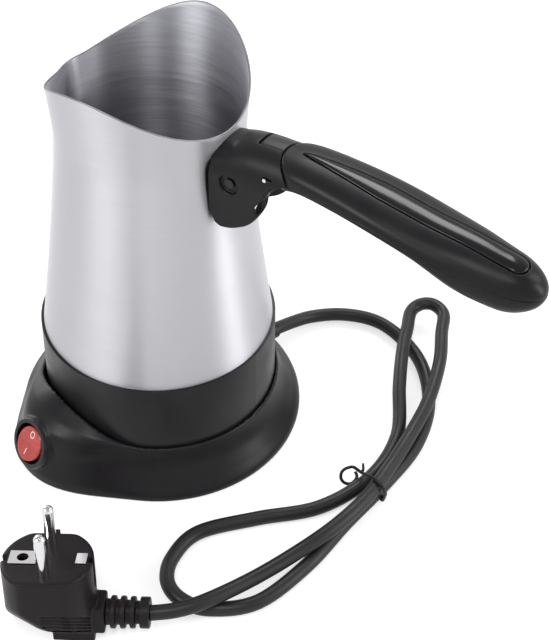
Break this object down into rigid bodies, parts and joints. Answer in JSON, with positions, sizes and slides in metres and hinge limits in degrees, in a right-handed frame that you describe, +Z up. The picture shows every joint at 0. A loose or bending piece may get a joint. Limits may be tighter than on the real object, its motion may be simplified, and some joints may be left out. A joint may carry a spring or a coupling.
{
  "type": "electric turkish coffee maker",
  "caption": "Electric Turkish coffee pot: tapered steel jug with a spout on a plastic heating base, fold-down handle, rocker switch and mains lead with plug.",
  "frame": {"origin": "centre of the base on the floor, on the jug's axis", "axes": "+X towards the handle's tip, -X towards the spout, +Z up"},
  "size_m": [0.2463, 0.2737, 0.1985],
  "materials": {
    "steel": "satin",
    "seal_silicone": "matte",
    "aluminium": "satin",
    "element_steel": "matte",
    "ceramic": "matte",
    "fuse_tan": "matte",
    "zinc_steel": "satin",
    "base_black": "satin",
    "rubber_foot": "matte",
    "switch_black": "satin",
    "brass": "satin",
    "rocker_red": "glossy",
    "handle_black": "satin",
    "inlay_gloss": "glossy",
    "cable_black": "satin",
    "tie_black": "satin",
    "plug_black": "satin",
    "nickel": "polished",
    "wire_brown": "satin",
    "wire_blue": "satin",
    "wire_green": "satin"
  },
  "bodies": {
    "base": {"jug": "steel", "jug_seal": "seal_silicone", "heater_plate": "aluminium", "heating_element": "element_steel", "thermostat": "ceramic", "thermal_fuse": "fuse_tan", "fuse_clip": "zinc_steel", "earth_tab": "zinc_steel", "centre_stud": "zinc_steel", "stud_nut": "zinc_steel", "collar": "base_black", "skirt": "base_black", "bottom_cover": "base_black", "foot_ring": "rubber_foot", "lobe_foot": "rubber_foot", "base_screws": "zinc_steel", "switch_housing": "switch_black", "switch_terminals": "brass", "handle_bracket": "handle_black", "bracket_studs": "zinc_steel", "bracket_nuts": "zinc_steel", "pivot_pin": "zinc_steel", "leaf_springs": "zinc_steel", "latch_pin": "zinc_steel", "latch_spring": "zinc_steel", "cord_gland": "cable_black", "cord_clamp": "base_black", "clamp_screws": "zinc_steel", "terminal_block": "ceramic", "wires_live": "wire_brown", "wires_neutral": "wire_blue", "wires_earth": "wire_green", "cord": "cable_black", "cord_tie": "tie_black", "plug_body": "plug_black", "plug_pins": "nickel", "plug_earth_contacts": "nickel", "plug_relief": "plug_black"},
    "handle": {"handle_core": "handle_black", "handle_upper": "handle_black", "handle_lower": "handle_black", "handle_inlay": "inlay_gloss", "handle_screws": "zinc_steel"},
    "latch": {"latch_button": "handle_black"},
    "rocker": {"rocker": "rocker_red"}
  },
  "joints": [
    {"name": "handle_fold", "type": "hinge", "parent": "base", "child": "handle", "pos_m": [0.0485, 0, 0.1615], "axis": [0, 1, 0], "range_deg": [0, 75]},
    {"name": "latch_press", "type": "slide", "parent": "base", "child": "latch", "axis": [0, 0, -1], "range_m": [0, 0.0015], "stiffness_N_per_m": 600, "springref_m": -0.001, "deforming": ["latch_spring"]},
    {"name": "rocker_tilt", "type": "hinge", "parent": "base", "child": "rocker", "pos_m": [-0.02171, -0.07102, 0.01786], "axis": [0.9563, -0.2924, 0], "range_deg": [0, 20]}
  ]
}
